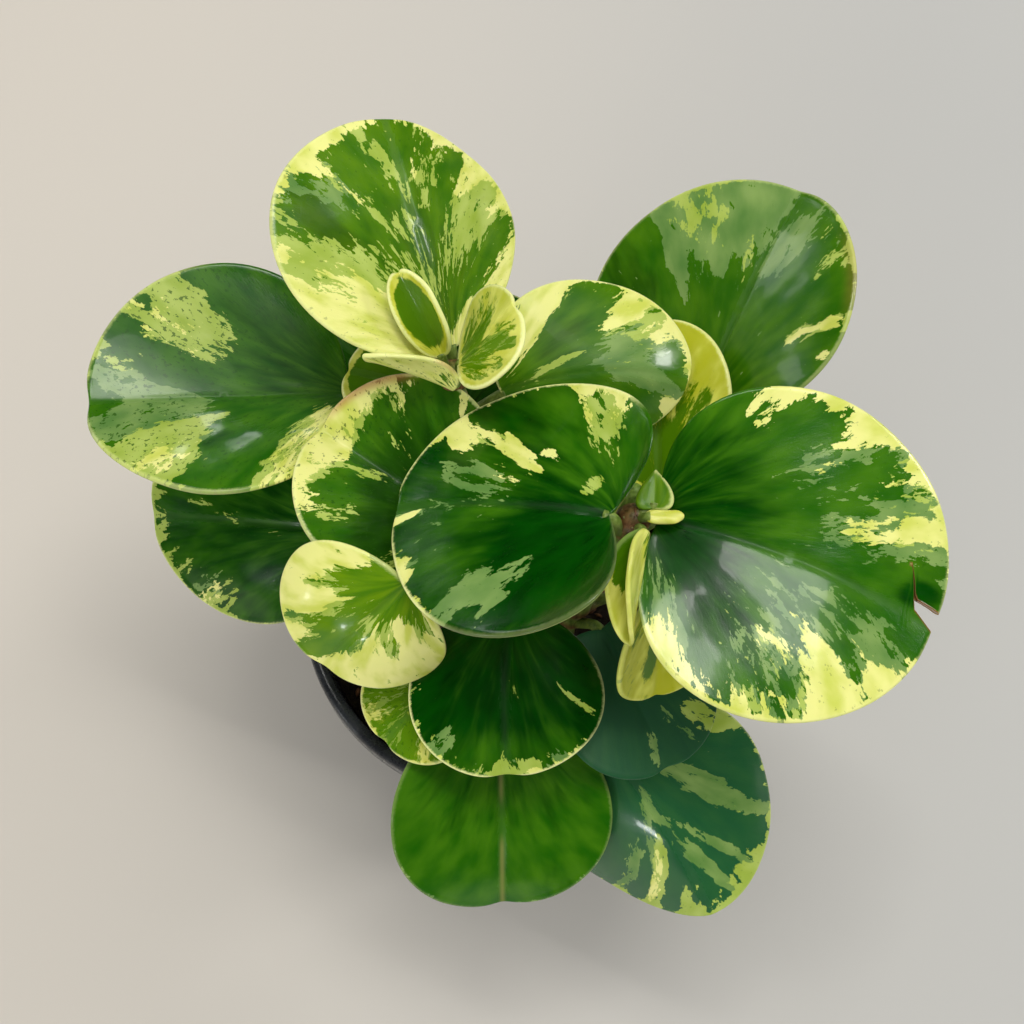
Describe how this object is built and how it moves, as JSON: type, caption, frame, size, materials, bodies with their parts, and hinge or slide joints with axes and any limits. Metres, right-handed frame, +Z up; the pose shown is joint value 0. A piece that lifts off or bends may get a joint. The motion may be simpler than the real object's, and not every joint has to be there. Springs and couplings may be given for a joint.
{
  "type": "potted peperomia plant",
  "caption": "Bushy houseplant with round, fleshy, cream-marbled leaves on short stalks, growing from soil in a small tapered nursery pot with a rolled rim.",
  "frame": {"origin": "centre of the pot's underside, on the plane that the pot stands on", "axes": "+Z up along the pot's axis; -Y towards the viewer of the picture, who looks steeply down from the front; +X to the right in the picture"},
  "size_m": [0.218, 0.1944, 0.216],
  "materials": {
    "pot": "dark charcoal plastic, semi-gloss",
    "soil": "damp peat with bark and perlite",
    "stem": "fleshy stem, satin, reddish at the nodes; its young leaves lime and cream",
    "leaf": "fleshy waxy leaf, dark green marbled with grey-green, lime and cream"
  },
  "bodies": {
    "root": {"pot": "pot", "soil": "soil", "stem_a": "stem", "stem_b": "stem", "stem_c": "stem", "stem_d": "stem", "leaf_a1": "leaf", "leaf_a2": "leaf", "leaf_a3": "leaf", "leaf_a4": "leaf", "leaf_a5": "leaf", "leaf_a6": "leaf", "leaf_a7": "leaf", "leaf_b1": "leaf", "leaf_b2": "leaf", "leaf_b3": "leaf", "leaf_b5": "leaf", "leaf_b6": "leaf", "leaf_b7": "leaf", "leaf_c1": "leaf", "leaf_c2": "leaf", "leaf_c3": "leaf", "leaf_c4": "leaf", "leaf_c5": "leaf", "leaf_c6": "leaf", "leaf_d1": "leaf", "leaf_d2": "leaf", "leaf_d3": "leaf"}
  },
  "joints": []
}
